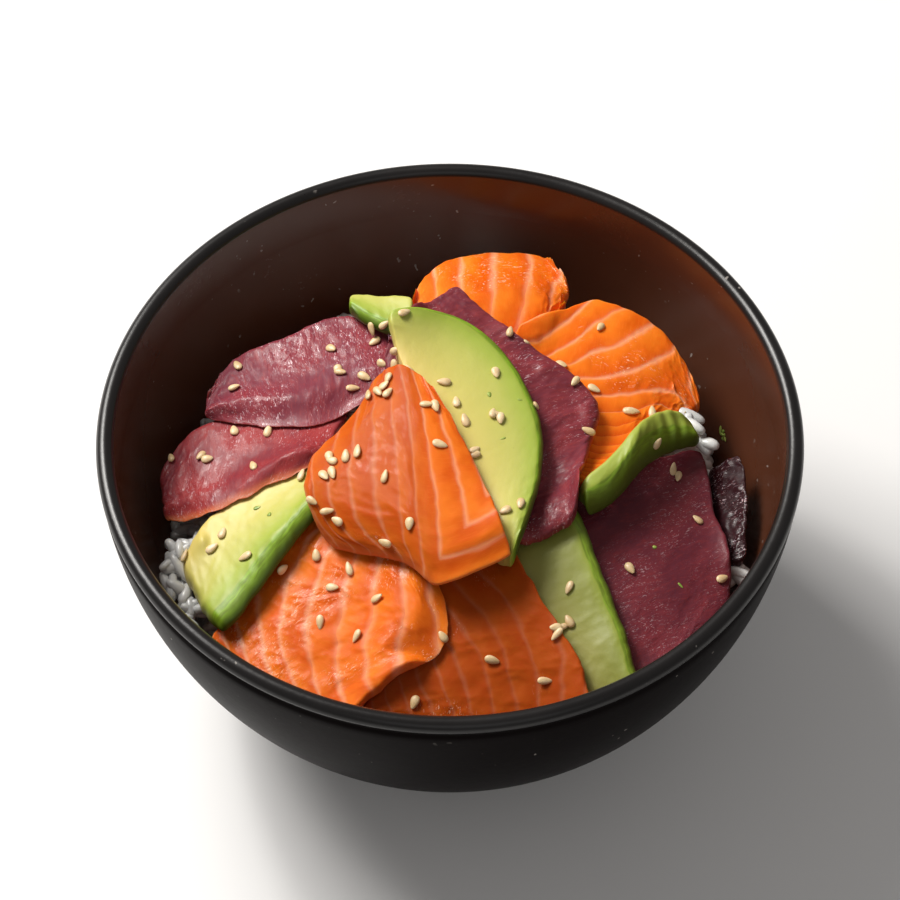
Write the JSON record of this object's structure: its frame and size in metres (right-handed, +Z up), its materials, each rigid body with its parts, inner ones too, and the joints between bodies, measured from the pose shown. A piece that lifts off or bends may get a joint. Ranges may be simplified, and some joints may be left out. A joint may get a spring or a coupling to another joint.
{
  "type": "sashimi donburi",
  "caption": "Black round bowl of white rice topped with overlapping slices of salmon, tuna and avocado and scattered sesame seeds.",
  "frame": {"origin": "middle of the underside of the bowl's foot", "axes": "+Z up, -Y to the front, where the bowl is seen from"},
  "size_m": [0.16, 0.16, 0.086],
  "materials": {
    "bowl_black": "satin black, softly glossy inside",
    "rice_white": "moist cooked grains",
    "salmon": "wet raw fish, orange with pale fat lines",
    "tuna": "wet raw fish, deep red",
    "avocado": "smooth cut face, yellow to green",
    "sesame": "dry toasted seed",
    "herb": "fresh chopped leaf"
  },
  "bodies": {
    "root": {"bowl": "bowl_black", "rice": "rice_white", "tuna_edge": "tuna", "tuna_right": "tuna", "avocado_front": "avocado", "salmon_front_right": "salmon", "salmon_front_left": "salmon", "salmon_right": "salmon", "salmon_back": "salmon", "avocado_right": "avocado", "tuna_left": "tuna", "tuna_back_left": "tuna", "avocado_back": "avocado", "avocado_left": "avocado", "tuna_centre": "tuna", "avocado_top": "avocado", "salmon_top": "salmon"}
  },
  "joints": []
}
